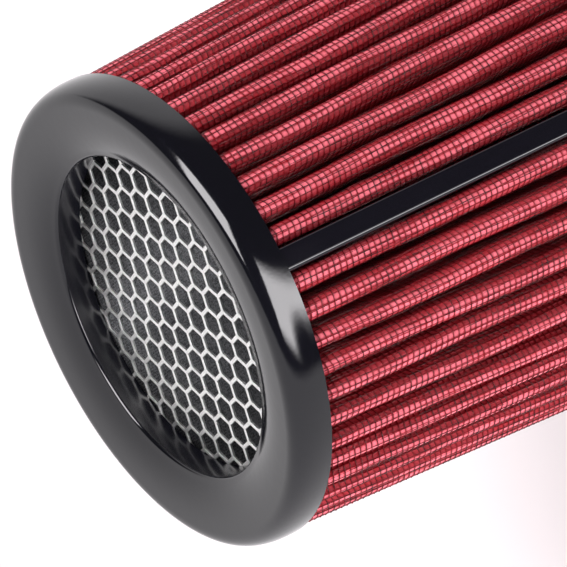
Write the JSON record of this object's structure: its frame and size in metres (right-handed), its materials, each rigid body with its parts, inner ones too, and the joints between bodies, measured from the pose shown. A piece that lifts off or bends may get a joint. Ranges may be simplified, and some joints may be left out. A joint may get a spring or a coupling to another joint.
{
  "type": "cone air filter",
  "caption": "Universal cone air filter with a pleated gauze body, a hexagon grille in its end ring and a 76 mm neck.",
  "frame": {"origin": "centre of the neck's open end, on the face that the filter stands on", "axes": "+Z along the filter's axis, from the neck to the grille end; the seam strip faces -Y"},
  "size_m": [0.152, 0.152, 0.1699],
  "materials": {
    "ring_plastic": "gloss",
    "grille_metal": "satin",
    "cloth_wire": "matte",
    "gauze": "matte",
    "screen_wire": "satin",
    "inner_wire": "satin",
    "strip_plastic": "gloss",
    "base_rubber": "satin"
  },
  "bodies": {
    "root": {"end_ring": "ring_plastic", "hex_grille": "grille_metal", "backing_cloth": "cloth_wire", "gauze_pad": "gauze", "pad_screen": "inner_wire", "outer_screen": "screen_wire", "pleated_gauze": "gauze", "inner_screen": "inner_wire", "seam_strip": "strip_plastic", "base": "base_rubber"}
  },
  "joints": []
}
